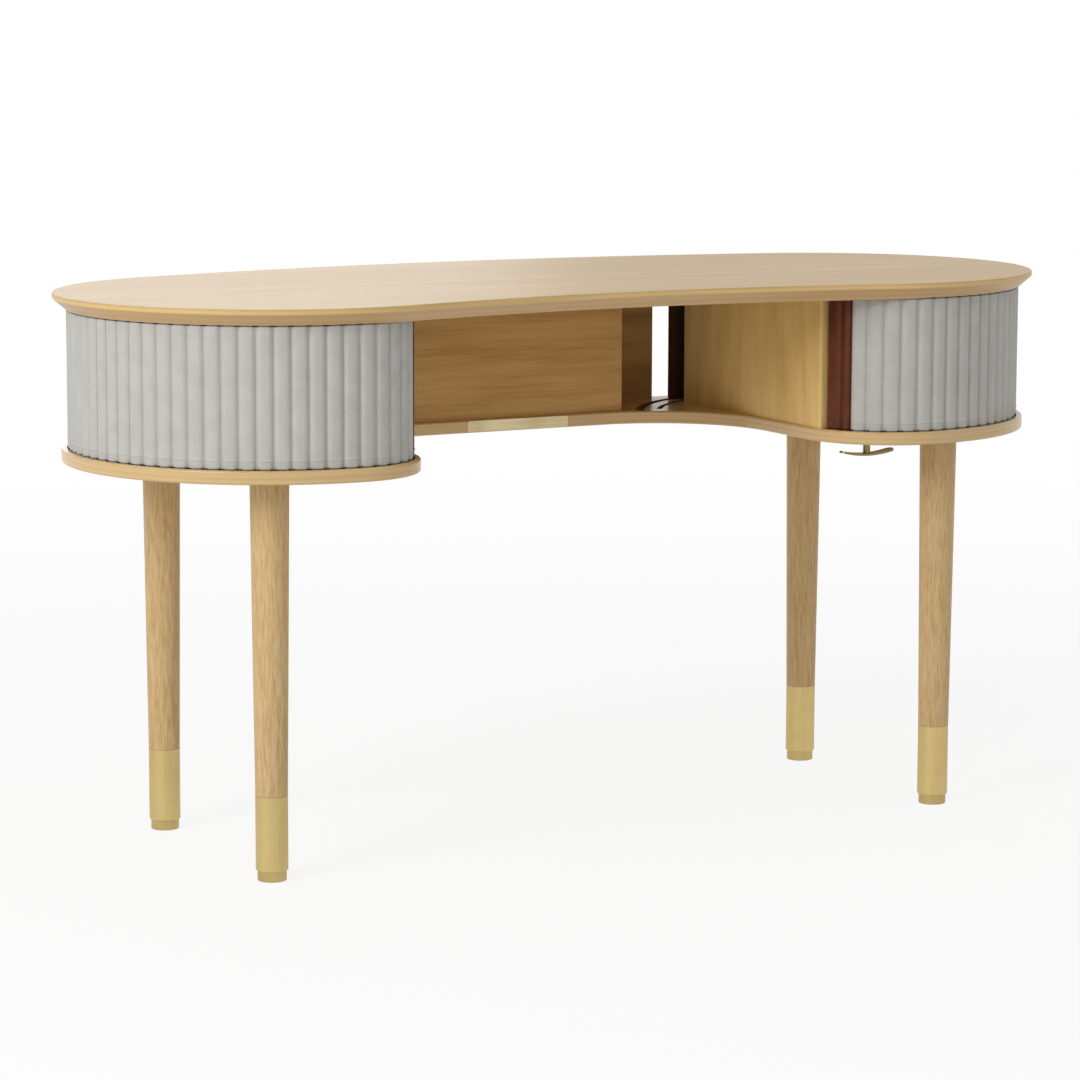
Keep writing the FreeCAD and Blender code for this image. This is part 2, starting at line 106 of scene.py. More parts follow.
def camera_axes(yaw, pitch, roll):
    forward = Vector((math.sin(yaw) * math.cos(pitch), math.cos(yaw) * math.cos(pitch), -math.sin(pitch)))
    right = Vector((math.cos(yaw), -math.sin(yaw), 0))
    up = right.cross(forward)
    tilted_right = right * math.cos(roll) + up * math.sin(roll)
    tilted_up = up * math.cos(roll) - right * math.sin(roll)
    return tilted_right, tilted_up, -forward


camera_data = bpy.data.cameras.new("studio_camera")
camera_data.sensor_width = SENSOR_WIDTH
camera_data.lens = CAMERA_LENS
camera_data.clip_end = FARTHEST_SEEN
camera = bpy.data.objects.new("studio_camera", camera_data)
bpy.context.scene.collection.objects.link(camera)
matrix = camera.matrix_world.to_3x3()
for column, axis in enumerate(camera_axes(CAMERA_YAW, CAMERA_PITCH, CAMERA_ROLL)):
    matrix.col[column] = axis
camera.matrix_world = matrix.to_4x4()
camera.location = CAMERA_PLACE
bpy.context.scene.camera = camera
print("camera: lens %.1f mm at" % CAMERA_LENS, tuple(round(v, 3) for v in CAMERA_PLACE))

# %% [markdown]
# ## Node helpers
# A material here is a few nodes joined by hand. These helpers add a node with its values, feed a socket
# with a number, a colour or another node's output, and make a node group with named inputs and outputs.
# The Mix node has sockets for every kind of value, so those for colours and numbers are chosen by their
# place in its list.

# %% Basic nodes
MIX_COLOUR_INPUTS, MIX_COLOUR_RESULT = (0, 6, 7), 2
MIX_NUMBER_INPUTS, MIX_NUMBER_RESULT = (0, 2, 3), 0


def add_node(tree, kind, values=None, **settings):
    node = tree.nodes.new(kind)
    for name, value in settings.items():
        setattr(node, name, value)
    for name, value in (values or {}).items():
        node.inputs[name].default_value = value
    return node


def link(tree, source, target):
    tree.links.new(source, target)


def feed(tree, socket, value):
    if isinstance(value, (int, float)):
        socket.default_value = value
    elif isinstance(value, tuple):
        socket.default_value = (*value, 1.0)
    else:
        link(tree, value, socket)


def math_node(tree, operation, a, b=None):
    node = add_node(tree, "ShaderNodeMath", operation=operation)
    feed(tree, node.inputs[0], a)
    if b is not None:
        feed(tree, node.inputs[1], b)
    return node.outputs[0]


def weighted_sum(tree, parts):
    total = 0.0
    for value, share in parts:
        total = math_node(tree, "ADD", total, math_node(tree, "MULTIPLY", value, share))
    return total


def mix_colour(tree, factor, a, b, blend="MIX"):
    node = add_node(tree, "ShaderNodeMix", data_type="RGBA", blend_type=blend)
    for index, value in zip(MIX_COLOUR_INPUTS, (factor, a, b)):
        feed(tree, node.inputs[index], value)
    return node.outputs[MIX_COLOUR_RESULT]


def mix_number(tree, factor, a, b):
    node = add_node(tree, "ShaderNodeMix", data_type="FLOAT")
    for index, value in zip(MIX_NUMBER_INPUTS, (factor, a, b)):
        feed(tree, node.inputs[index], value)
    return node.outputs[MIX_NUMBER_RESULT]


def remap(tree, value, low, high, to_low=0.0, to_high=1.0):
    node = add_node(tree, "ShaderNodeMapRange",
                    {"From Min": low, "From Max": high, "To Min": to_low, "To Max": to_high},
                    interpolation_type="SMOOTHSTEP")
    link(tree, value, node.inputs["Value"])
    return node.outputs["Result"]


# %% Places, noise and groups
def split(tree, vector):
    node = add_node(tree, "ShaderNodeSeparateXYZ")
    link(tree, vector, node.inputs[0])
    return node.outputs


def mapped(tree, vector, scale=(1, 1, 1), shift=(0, 0, 0), turn=(0, 0, 0)):
    node = add_node(tree, "ShaderNodeMapping", {"Location": shift, "Rotation": turn, "Scale": scale})
    link(tree, vector, node.inputs["Vector"])
    return node.outputs["Vector"]


def noise(tree, vector, scale=1.0, detail=4.0, roughness=0.55):
    node = add_node(tree, "ShaderNodeTexNoise", {"Scale": scale, "Detail": detail, "Roughness": roughness})
    link(tree, vector, node.inputs["Vector"])
    return node.outputs["Fac"]


def shader_group(name, inputs, outputs):
    tree = bpy.data.node_groups.new(name, "ShaderNodeTree")
    for label, kind, value in inputs:
        socket = tree.interface.new_socket(label, in_out="INPUT", socket_type=kind)
        if value is not None:
            socket.default_value = value
    for label, kind in outputs:
        tree.interface.new_socket(label, in_out="OUTPUT", socket_type=kind)
    return tree, tree.nodes.new("NodeGroupInput").outputs, tree.nodes.new("NodeGroupOutput").inputs


def use_group(tree, group, vector, values=None):
    node = add_node(tree, "ShaderNodeGroup", values, node_tree=group)
    link(tree, vector, node.inputs["Vector"])
    return node.outputs


# %% [markdown]
# Colours are written as a screen shows them, from 0 to 255, and turned into the linear values that light
# needs. Every material starts from a Principled shader and the object's own coordinates, which are the
# frame's metres.

# %% Material helpers
def linear(red, green, blue):
    return tuple(((v / 255 + 0.055) / 1.055) ** 2.4 if v > 10 else v / 255 / 12.92
                 for v in (red, green, blue))


def new_material(name, values):
    material = bpy.data.materials.new(name)
    material.use_nodes = True
    tree = material.node_tree
    principled = tree.nodes["Principled BSDF"]
    for label, value in values.items():
        principled.inputs[label].default_value = value
    coordinates = tree.nodes.new("ShaderNodeTexCoord").outputs["Object"]
    return material, tree, principled, coordinates


def bump_from(tree, principled, height, strength, distance):
    node = add_node(tree, "ShaderNodeBump", {"Strength": strength, "Distance": distance})
    link(tree, height, node.inputs["Height"])
    link(tree, node.outputs["Normal"], principled.inputs["Normal"])


# %% [markdown]
# ## Oak figure
# A board is cut from a log, so its figure is the growth rings of that log where the saw met them: long
# flames near the middle of a board and straight lines beside them. The group measures the distance from
# the log's axis, which lies along X, and bends it a little with noise. Streaks, fine fibre and short
# pores run along the grain on top of it, and a slow cloud changes the tone. Fineness trades this figure
# for plain fibre. Each material turns and shifts its coordinates to choose where in the log its board
# comes from.

# %% Oak group
RING_BEND_SCALE, RING_BEND = (1.8, 11, 11), 5.0
STREAK_SCALE = (2.6, 95, 95)
FIBRE_SCALE = (7, 460, 460)
CLOUD_SCALE = (0.9, 6, 6)
PORE_SCALE, PORE_LEVELS = (30, 820, 820), (0.60, 0.74)
PORES_BETWEEN_RINGS = 0.3
PORE_SINK = 0.8
RING_SHARE, STREAK_SHARE, FIBRE_SHARE, CLOUD_SHARE = 0.13, 0.33, 0.26, 0.28

oak_group, oak_in, oak_out = shader_group(
    "oak_figure",
    [("Vector", "NodeSocketVector", None), ("Ring Width", "NodeSocketFloat", 0.007),
     ("Fineness", "NodeSocketFloat", 0.0)],
    [("Figure", "NodeSocketFloat"), ("Pores", "NodeSocketFloat"), ("Height", "NodeSocketFloat")])


def oak_math(operation, a, b=None):
    return math_node(oak_group, operation, a, b)


def oak_noise(scale, detail, roughness=0.55):
    return noise(oak_group, mapped(oak_group, oak_in["Vector"], scale), detail=detail, roughness=roughness)


log_place = split(oak_group, oak_in["Vector"])
from_heart = oak_math("SQRT", oak_math("ADD", oak_math("MULTIPLY", log_place["Y"], log_place["Y"]),
                                       oak_math("MULTIPLY", log_place["Z"], log_place["Z"])))
ring_bend = oak_math("MULTIPLY", oak_noise(RING_BEND_SCALE, detail=3.0), RING_BEND)
ring_place = oak_math("ADD", oak_math("DIVIDE", from_heart, oak_in["Ring Width"]), ring_bend)
ring = oak_math("PINGPONG", ring_place, 1.0)
streak = oak_noise(STREAK_SCALE, detail=5.0, roughness=0.62)
fibre = oak_noise(FIBRE_SCALE, detail=4.0, roughness=0.65)
cloud = oak_noise(CLOUD_SCALE, detail=2.0)
pores = remap(oak_group, oak_noise(PORE_SCALE, detail=2.0), *PORE_LEVELS)
figure = weighted_sum(oak_group, ((ring, RING_SHARE), (streak, STREAK_SHARE),
                                  (fibre, FIBRE_SHARE), (cloud, CLOUD_SHARE)))
plain_fibre = oak_math("MULTIPLY", oak_math("SUBTRACT", fibre, figure), oak_in["Fineness"])
link(oak_group, oak_math("ADD", figure, plain_fibre), oak_out["Figure"])
link(oak_group, oak_math("MULTIPLY", pores, oak_math("ADD", PORES_BETWEEN_RINGS, ring)), oak_out["Pores"])
link(oak_group, oak_math("SUBTRACT", fibre, oak_math("MULTIPLY", pores, PORE_SINK)), oak_out["Height"])
print("oak group:", len(oak_group.nodes), "nodes")

# %% [markdown]
# ## Rim direction
# The edges of the top and the shelf are lipped with thin strips of oak that bend round the ends, so their
# grain follows the rim. This group turns a place near the rim into length along it: plain X between the
# pods, and the arc about the pod axis beyond them.

# %% Rim group
rim_group, rim_in, rim_out = shader_group("along_rim", [("Vector", "NodeSocketVector", None)],
                                          [("Vector", "NodeSocketVector")])


def rim_math(operation, a, b=None):
    return math_node(rim_group, operation, a, b)


rim_place = split(rim_group, rim_in["Vector"])
from_middle = rim_math("ABSOLUTE", rim_place["X"])
beyond_pod = rim_math("MAXIMUM", rim_math("SUBTRACT", from_middle, pod_x), 0.0)
before_pod = rim_math("SUBTRACT", pod_y, rim_place["Y"])
arc_length = rim_math("MULTIPLY", rim_math("ARCTAN2", beyond_pod, before_pod), shelf_end_radius)
rim_length = rim_math("ADD", rim_math("MINIMUM", from_middle, pod_x), arc_length)
along_rim = add_node(rim_group, "ShaderNodeCombineXYZ")
link(rim_group, rim_math("MULTIPLY", rim_math("SIGN", rim_place["X"]), rim_length), along_rim.inputs["X"])
link(rim_group, rim_place["Z"], along_rim.inputs["Z"])
link(rim_group, along_rim.outputs[0], rim_out["Vector"])
print("rim group:", len(rim_group.nodes), "nodes")

# %% [markdown]
# ## Oak finishes
# All boards have a satin lacquer, a little duller in the pores. The top and the shelf carry veneer along
# X with a lipped edge, the panels run along X, and the dividers and legs stand with their grain upright.

# %% Oak colour and lacquer
OAK_LIGHT = linear(216, 187, 138)
OAK_MID = linear(203, 172, 120)
OAK_DARK = linear(183, 149, 96)
OAK_PORE = linear(142, 106, 62)
FIGURE_MIDDLE, FIGURE_REACH = 0.5, 0.20
LIGHT_TO_MID, MID_TO_DARK = (0.0, 0.6), (0.45, 1.0)
PORE_SHARE = 0.24
LACQUER_LEVELS = (0.2, 0.8)
PORE_DULLING, FIBRE_GLOSS = 0.05, 0.04
GRAIN_BUMP, GRAIN_DEPTH = 0.08, 0.0003


def oak_colour(tree, vector, ring_width, contrast, fineness=0.0):
    board = use_group(tree, oak_group, vector, {"Ring Width": ring_width, "Fineness": fineness})
    reach = FIGURE_REACH / contrast
    spread = remap(tree, board["Figure"], FIGURE_MIDDLE - reach, FIGURE_MIDDLE + reach)
    light_half = mix_colour(tree, remap(tree, spread, *LIGHT_TO_MID), OAK_LIGHT, OAK_MID)
    both_halves = mix_colour(tree, remap(tree, spread, *MID_TO_DARK), light_half, OAK_DARK)
    pore_share = math_node(tree, "MULTIPLY", board["Pores"], PORE_SHARE * contrast)
    return mix_colour(tree, pore_share, both_halves, OAK_PORE), board["Height"]


def lacquered(tree, principled, colour, height, lacquer):
    link(tree, colour, principled.inputs["Base Color"])
    roughness = remap(tree, height, *LACQUER_LEVELS, lacquer + PORE_DULLING, lacquer - FIBRE_GLOSS)
    link(tree, roughness, principled.inputs["Roughness"])
    bump_from(tree, principled, height, GRAIN_BUMP, GRAIN_DEPTH)


# %% Oak materials
GRAIN_UPRIGHT = (0, math.radians(90), 0)
GRAIN_UPRIGHT_FLAMED = (0, math.radians(96), 0)
GRAIN_LEG = (0, math.radians(90.5), 0)
GRAIN_LEVEL = (0, 0, math.radians(1.2))
SHORT_UPRIGHT = (1, 1, 5)
BOARD_LACQUER = 0.46
VENEER_RINGS, VENEER_CONTRAST = 0.010, 0.55
LIPPING_RINGS, LIPPING_CONTRAST = 0.006, 0.4
LIPPING_SQUEEZE = (1, 1, 1.6)
# Painted shade: the bevel under the top's band takes a darker, pinker tint than the band.
BEVEL_SHADE_TINT = (1.02, 0.95, 0.99)
BEVEL_BLEND = 0.0035
LIP = 0.0006
LIP_BLEND = 0.0024
TOP_BAND = 0.0065


def oak_material(name, turn, shift, ring_width=0.007, contrast=1.0, shine=0.28, tint_and_painted_light=(1, 1, 1),
                 squeeze=(1, 1, 1), fineness=0.0):
    material, tree, principled, coordinates = new_material(name, {"Specular IOR Level": shine})
    in_log = mapped(tree, coordinates, squeeze, shift, turn)
    colour, height = oak_colour(tree, in_log, ring_width, contrast, fineness)
    # The tint is the board's own tone, and for some boards it also carries painted light or painted shade.
    tinted_colour = mix_colour(tree, 1.0, colour, tint_and_painted_light, "MULTIPLY")
    lacquered(tree, principled, tinted_colour, height, BOARD_LACQUER)
    return material


def lipped_material(name, edges, bevel_high, shift, lacquer, shine, face_stain, band_light_tint):
    """Veneer on the faces, and lipping between the two edge heights with its bevel below bevel_high. The
    band's tint brightens it as painted light, and the bevel's tint makes it darker and pinker as painted
    shade.
    """
    material, tree, principled, coordinates = new_material(name, {"Specular IOR Level": shine})
    in_log = mapped(tree, coordinates, shift=shift)
    veneer, veneer_height = oak_colour(tree, in_log, VENEER_RINGS, VENEER_CONTRAST)
    veneer = mix_colour(tree, 1.0, veneer, face_stain, "MULTIPLY")
    rim = use_group(tree, rim_group, coordinates)
    in_strip = mapped(tree, rim["Vector"], LIPPING_SQUEEZE, shift)
    lipping, lipping_height = oak_colour(tree, in_strip, LIPPING_RINGS, LIPPING_CONTRAST)
    level = split(tree, coordinates)["Z"]
    above_lower_face = math_node(tree, "GREATER_THAN", level, edges[0] + LIP)
    below_upper_face = remap(tree, level, edges[1] - LIP - LIP_BLEND, edges[1] - LIP, 1.0, 0.0)
    on_rim = math_node(tree, "MULTIPLY", above_lower_face, below_upper_face)
    on_bevel = remap(tree, level, bevel_high - BEVEL_BLEND, bevel_high, 1.0, 0.0)
    # Painted light and shade: the band of lipping is brightened, and the bevel below it is darkened and made
    # pinker.
    rim_light_and_shade = mix_colour(tree, on_bevel, band_light_tint, BEVEL_SHADE_TINT)
    lipping = mix_colour(tree, 1.0, lipping, rim_light_and_shade, "MULTIPLY")
    height = mix_number(tree, on_rim, veneer_height, lipping_height)
    lacquered(tree, principled, mix_colour(tree, on_rim, veneer, lipping), height, lacquer)
    return material


# The tints on the bands of the top and the shelf brighten their lipping as painted light.
top_oak = lipped_material(
    "oak_top", edges=(top_low.z, top_high.z), bevel_high=top_high.z - TOP_BAND, shift=(0.31, 0.05, -0.66),
    lacquer=0.38, shine=0.25, face_stain=(0.92, 0.90, 0.84), band_light_tint=(1.12, 1.11, 1.02))
shelf_oak = lipped_material(
    "oak_shelf", edges=(shelf_low.z, shelf_high.z), bevel_high=shelf_low.z, shift=(2.7, 0.10, -0.46),
    lacquer=0.26, shine=0.45, face_stain=(1, 1, 1), band_light_tint=(1.04, 1.03, 1.03))
# Painted shade: the panels' tint darkens and warms them where they stand in the shade under the top.
shaded_panel_oak = oak_material(
    "oak_panels", GRAIN_LEVEL, shift=(1.9, 0.01, -0.62), ring_width=0.010, shine=0.12,
    tint_and_painted_light=(0.92, 0.78, 0.60))
# Painted light: the dividers' tint brightens them beyond their own tone, for light reaching into the
# kneehole.
lit_divider_oak = oak_material(
    "oak_dividers", GRAIN_UPRIGHT_FLAMED, shift=(0.4, 0.05, 0.17), ring_width=0.013, contrast=0.5, shine=0.2,
    tint_and_painted_light=(1.28, 1.27, 1.06))
leg_oak = oak_material(
    "oak_legs", GRAIN_LEG, shift=(0.9, 0.13, 0.47), ring_width=0.006, contrast=0.85,
    tint_and_painted_light=(1.02, 1.01, 1.05), squeeze=SHORT_UPRIGHT, fineness=0.7)
# Painted shade: the grooves' dark tint stands in for the shade inside them.
groove_shade_oak = oak_material(
    "oak_grooves", GRAIN_LEVEL, shift=(3.3, 0.2, -0.5), shine=0.1, tint_and_painted_light=(0.40, 0.33, 0.27))
dowel_oak = oak_material("oak_dowels", GRAIN_UPRIGHT, shift=(5.9, 0.6, 0.2), ring_width=0.004)
print("oak finishes made")

# %% [markdown]
# ## Leather and canvas
# The slats are wrapped in a pale grey leather with a fine pebble, and the pull slats in a smooth dark
# brown one. Pebble is a cell pattern softened by noise; a slow mottle keeps the colour alive. The canvas
# that joins the slats behind is a plain weave, made of two crossed waves.

# %% Leather group
PEBBLE_LEVELS = (0.35, 0.75)
PEBBLE_SOFTNESS = 0.6
JITTER_SCALE = 0.8
MOTTLE_SCALE = 38.0

leather_group, leather_in, leather_out = shader_group(
    "leather_grain",
    [("Vector", "NodeSocketVector", None), ("Pebble Size", "NodeSocketFloat", 0.0011)],
    [("Height", "NodeSocketFloat"), ("Mottle", "NodeSocketFloat"), ("Valleys", "NodeSocketFloat")])
pebble_place = add_node(leather_group, "ShaderNodeVectorMath", operation="DIVIDE")
link(leather_group, leather_in["Vector"], pebble_place.inputs[0])
link(leather_group, leather_in["Pebble Size"], pebble_place.inputs[1])
jitter = add_node(leather_group, "ShaderNodeTexNoise", {"Scale": JITTER_SCALE, "Detail": 2.0})
link(leather_group, pebble_place.outputs[0], jitter.inputs["Vector"])
shifted = add_node(leather_group, "ShaderNodeVectorMath", operation="ADD")
link(leather_group, pebble_place.outputs[0], shifted.inputs[0])
link(leather_group, jitter.outputs["Color"], shifted.inputs[1])
pebbles = add_node(leather_group, "ShaderNodeTexVoronoi", {"Scale": 1.0, "Smoothness": PEBBLE_SOFTNESS},
                   feature="SMOOTH_F1")
link(leather_group, shifted.outputs[0], pebbles.inputs["Vector"])
valleys = remap(leather_group, pebbles.outputs["Distance"], *PEBBLE_LEVELS)
link(leather_group, math_node(leather_group, "SUBTRACT", 1.0, valleys), leather_out["Height"])
link(leather_group, valleys, leather_out["Valleys"])
link(leather_group, noise(leather_group, leather_in["Vector"], MOTTLE_SCALE), leather_out["Mottle"])
print("leather group:", len(leather_group.nodes), "nodes")

# %% Leather materials
COAT_ROUGHNESS = 0.28
MOTTLE_COLOUR_LEVELS = (0.3, 0.7)
MOTTLE_SHEEN_LEVELS = (0.25, 0.75)
MOTTLE_GLOSS, MOTTLE_DULLING = 0.05, 0.06
VALLEY_SHADE = 0.22
PEBBLE_DEPTH = 0.0003


def leather_material(name, light, dark, pebble, rough, strength, shine, coat):
    material, tree, principled, coordinates = new_material(
        name, {"Specular IOR Level": shine, "Coat Weight": coat, "Coat Roughness": COAT_ROUGHNESS})
    hide = use_group(tree, leather_group, coordinates, {"Pebble Size": pebble})
    base = mix_colour(tree, remap(tree, hide["Mottle"], *MOTTLE_COLOUR_LEVELS), light, dark)
    shade = math_node(tree, "MULTIPLY", hide["Valleys"], VALLEY_SHADE)
    link(tree, mix_colour(tree, shade, base, dark), principled.inputs["Base Color"])
    roughness = remap(tree, hide["Mottle"], *MOTTLE_SHEEN_LEVELS,
                      rough - MOTTLE_GLOSS, rough + MOTTLE_DULLING)
    link(tree, roughness, principled.inputs["Roughness"])
    bump_from(tree, principled, hide["Height"], strength, PEBBLE_DEPTH)
    return material


grey_leather = leather_material("leather_grey", linear(190, 189, 184), linear(183, 182, 176), pebble=0.0019,
                                rough=0.62, strength=0.26, shine=0.22, coat=0.0)
brown_leather = leather_material("leather_brown", linear(106, 54, 28), linear(87, 42, 21), pebble=0.0014,
                                 rough=0.38, strength=0.10, shine=0.14, coat=0.16)

# %% Canvas material
CANVAS_DARK = linear(80, 60, 40)
CANVAS_LIGHT = linear(116, 90, 62)
THREADS = {"Scale": 260.0, "Distortion": 0.6, "Detail": 1.0}
SLUB_SCALE, SLUB_LEVELS = 90.0, (0.3, 0.7)
WEAVE_SHARE, SLUB_SHARE = 0.6, 0.4
CANVAS_ROUGHNESS = (0.82, 0.92)
WEAVE_BUMP, WEAVE_DEPTH = 0.35, 0.0003


def canvas_material():
    material, tree, principled, coordinates = new_material("canvas_backing", {"Specular IOR Level": 0.2})
    rim = use_group(tree, rim_group, coordinates)
    threads = []
    for direction in ("X", "Z"):
        wave = add_node(tree, "ShaderNodeTexWave", THREADS, bands_direction=direction)
        link(tree, rim["Vector"], wave.inputs["Vector"])
        threads.append(wave.outputs["Fac"])
    weave = math_node(tree, "MULTIPLY", *threads)
    slub = noise(tree, coordinates, SLUB_SCALE, detail=3.0)
    tone = weighted_sum(tree, ((weave, WEAVE_SHARE), (slub, SLUB_SHARE)))
    link(tree, mix_colour(tree, tone, CANVAS_DARK, CANVAS_LIGHT), principled.inputs["Base Color"])
    link(tree, remap(tree, slub, *SLUB_LEVELS, *CANVAS_ROUGHNESS), principled.inputs["Roughness"])
    bump_from(tree, principled, weave, WEAVE_BUMP, WEAVE_DEPTH)
    return material


canvas = canvas_material()

# %% [markdown]
# ## Brass and steel
# The ferrules are drawn brass tube, brushed along their length, with the warm grey tint of a satin
# finish. Brushing is noise stretched along the strokes. The hidden bolts get the same group in a zinc
# tone.

# %% Metal group
STROKE_SCALE = (1500, 1500, 14)
METAL_CLOUD_SCALE = 22.0

brush_group, brush_in, brush_out = shader_group(
    "brushed_strokes", [("Vector", "NodeSocketVector", None)],
    [("Strokes", "NodeSocketFloat"), ("Cloud", "NodeSocketFloat")])
stroke_place = mapped(brush_group, brush_in["Vector"], STROKE_SCALE)
link(brush_group, noise(brush_group, stroke_place, detail=3.0, roughness=0.6), brush_out["Strokes"])
link(brush_group, noise(brush_group, brush_in["Vector"], METAL_CLOUD_SCALE, detail=3.0), brush_out["Cloud"])

# %% Metal materials
STROKE_SHARE, METAL_CLOUD_SHARE = 0.6, 0.4
METAL_COLOUR_LEVELS = (0.35, 0.65)
METAL_SHEEN_LEVELS = (0.3, 0.7)
STROKE_GLOSS, STROKE_DULLING = 0.05, 0.08
STROKE_BUMP, STROKE_DEPTH = 0.06, 0.0002
STROKES_ALONG_X = (0, math.radians(90), 0)


def metal_material(name, bright, dull, rough, turn=(0, 0, 0)):
    material, tree, principled, coordinates = new_material(name, {"Metallic": 1.0})
    brushed = use_group(tree, brush_group, mapped(tree, coordinates, turn=turn))
    tone = weighted_sum(tree, ((brushed["Strokes"], STROKE_SHARE), (brushed["Cloud"], METAL_CLOUD_SHARE)))
    colour = mix_colour(tree, remap(tree, tone, *METAL_COLOUR_LEVELS), bright, dull)
    link(tree, colour, principled.inputs["Base Color"])
    roughness = remap(tree, tone, *METAL_SHEEN_LEVELS, rough - STROKE_GLOSS, rough + STROKE_DULLING)
    link(tree, roughness, principled.inputs["Roughness"])
    bump_from(tree, principled, brushed["Strokes"], STROKE_BUMP, STROKE_DEPTH)
    return material


brass = metal_material("brass_satin", linear(210, 187, 129), linear(200, 177, 119), rough=0.46)
foot_brass = metal_material("brass_foot", linear(198, 175, 119), linear(180, 156, 102), rough=0.42)
plate_brass = metal_material("brass_plate", linear(214, 199, 160), linear(200, 184, 143), rough=0.46,
                             turn=STROKES_ALONG_X)
hook_brass = metal_material("brass_hook", linear(160, 140, 96), linear(138, 118, 78), rough=0.36)
steel = metal_material("steel_zinc", linear(176, 178, 182), linear(146, 148, 152), rough=0.38)
print("materials:", len(bpy.data.materials))

# %% [markdown]
# ## Finishes on the frame's own solids
# Boards, legs and fixings already have their true shape, so they only take a finish.

# %% Dress the frame
LEG_ENDS = ("left_front", "right_front", "left_rear", "right_rear")


def finish_node(name, material):
    mesh = nodes[name].data
    mesh.materials.clear()
    mesh.materials.append(material)


plain_finishes = {
    "desktop": top_oak, "shelf": shelf_oak, "inner_back_panel": shaded_panel_oak, "outer_back_panel": shaded_panel_oak,
    "left_divider": lit_divider_oak, "right_divider": lit_divider_oak, "panel_dowels": dowel_oak,
    "edge_plate": plate_brass, "hook_bar": hook_brass, "hook_stem": hook_brass,
    "leg_bolts": steel, "leg_inserts": steel, "left_tambour_canvas": canvas, "right_tambour_canvas": canvas,
}
for end in LEG_ENDS:
    plain_finishes[end + "_leg"] = leg_oak
    plain_finishes[end + "_ferrule"] = brass
    plain_finishes[end + "_foot"] = foot_brass
for name, material in plain_finishes.items():
    finish_node(name, material)
print("finished solids:", len(plain_finishes))

# %% [markdown]
# The tongues of the slats run in grooves in the shelf and the top, and the shelf has a short guide groove
# of the same depth inside each track. The faces that reach a groove's floor take a dark finish of their own,
# which is painted shade inside the groove.

# %% Grooves
GROOVE_DEPTH = 0.008
SAME_LEVEL = 0.0001


# Painted shade: the faces at a groove's floor take the dark groove finish.
def darken_grooves(name, outer_level, depth):
    mesh = nodes[name].data
    mesh.materials.append(groove_shade_oak)
    floor_level = outer_level(vertex.co.z for vertex in mesh.vertices) + depth
    count = 0
    for polygon in mesh.polygons:
        heights = [mesh.vertices[index].co.z for index in polygon.vertices]
        deepest = max(heights) if depth > 0 else min(heights)
        if abs(deepest - floor_level) < SAME_LEVEL:
            polygon.material_index = 1
            count += 1
    print(name, "groove faces:", count)


darken_grooves("shelf", max, -GROOVE_DEPTH)
darken_grooves("desktop", min, GROOVE_DEPTH)

# %% [markdown]
# ## One wrapped slat
# A slat is a strip of wood in a padded leather sleeve. Its face falls away to both sides in wide soft
# shoulders. A thin lip on one side reaches behind the next slat, into a rebate, so no gap opens where the
# curtain bends.

# %% Slat section
BACK_GAP = 0.00095
FACE_GAP = 0.0009
LIP_LOW, LIP_HIGH, LIP_REACH = 0.0059, 0.0068, 0.0024
REBATE = 0.0022
REBATE_HIGH = 0.0071
SHOULDER_WIDTH = 0.0085
SHOULDER_LIMIT = 0.7
SHOULDER_DEPTH = 0.0036
SHOULDER_POWER = 2.1
CROWN = 0.0002
SHOULDER_STEPS = 8
FACE_STEPS = 4


def slat_outline(pitch):
    """Points of the section, from the rebated back corner over the face to the lip; +X is outwards."""
    back, cap = (pitch - BACK_GAP) / 2, (pitch - FACE_GAP) / 2
    shoulder = min(SHOULDER_WIDTH, cap * SHOULDER_LIMIT)
    flat = cap - shoulder
    rebate = pitch / 2 - REBATE
    lip = pitch / 2 + LIP_REACH
    edge = []
    for step in range(SHOULDER_STEPS + 1):
        share = 1 - step / SHOULDER_STEPS
        edge.append((SLAT_THICK - CROWN - SHOULDER_DEPTH * share ** SHOULDER_POWER, flat + shoulder * share))
    face = [(SLAT_THICK - CROWN * (2 * step / FACE_STEPS - 1) ** 2, flat * (2 * step / FACE_STEPS - 1))
            for step in range(1, FACE_STEPS)]
    rebated = [(0.0, -rebate), (REBATE_HIGH, -rebate)] + [(x, -y) for x, y in edge]
    lipped = [*reversed(edge), (LIP_HIGH, cap), (LIP_HIGH, lip), (LIP_LOW, lip), (LIP_LOW, back), (0.0, back)]
    return rebated + face + lipped


# %% [markdown]
# The sleeve is turned in at both ends, and a soft ridge shows where the turned-in hem stops, stronger
# below than above. The slat is drawn as rings of points up its height, closer together at the ends, and
# has a thin tongue at each end for the groove.

# %% Slat ends
END_GAP = 0.0006
END_ROUND = 0.0012
END_ROUND_STEPS = 4
LOWER_CORNER_ROUND = 0.0028
UPPER_CORNER_ROUND = 0.0012
CORNER_SHARES = (0.7, 1.0)
HEM = 0.0090
HEM_WIDTH = 0.0011
HEM_DIP = 0.0001
HEM_STEPS = range(-4, 10)
HEM_RIDGE = 0.0007
HEM_RIDGE_ABOVE = 0.0026
HEM_SLOPE_BELOW, HEM_SLOPE_ABOVE = 0.0024, 0.0008
UPPER_HEM_SHARE = 0.5

slat_low = shelf_high.z + END_GAP
slat_high = top_low.z - END_GAP


def end_distances():
    """Distances from an end of the slat where the section changes."""
    rounded = [END_ROUND * (1 - math.cos(step / END_ROUND_STEPS * math.pi / 2))
               for step in range(END_ROUND_STEPS + 1)]
    corner = [LOWER_CORNER_ROUND * share for share in CORNER_SHARES]
    hem = [HEM + step * HEM_WIDTH / 2 for step in HEM_STEPS]
    return rounded + corner + hem


def rounding(distance, radius):
    """Inset of a quarter round of this radius at a distance from its end."""
    return radius - math.sqrt(radius ** 2 - max(radius - distance, 0.0) ** 2)


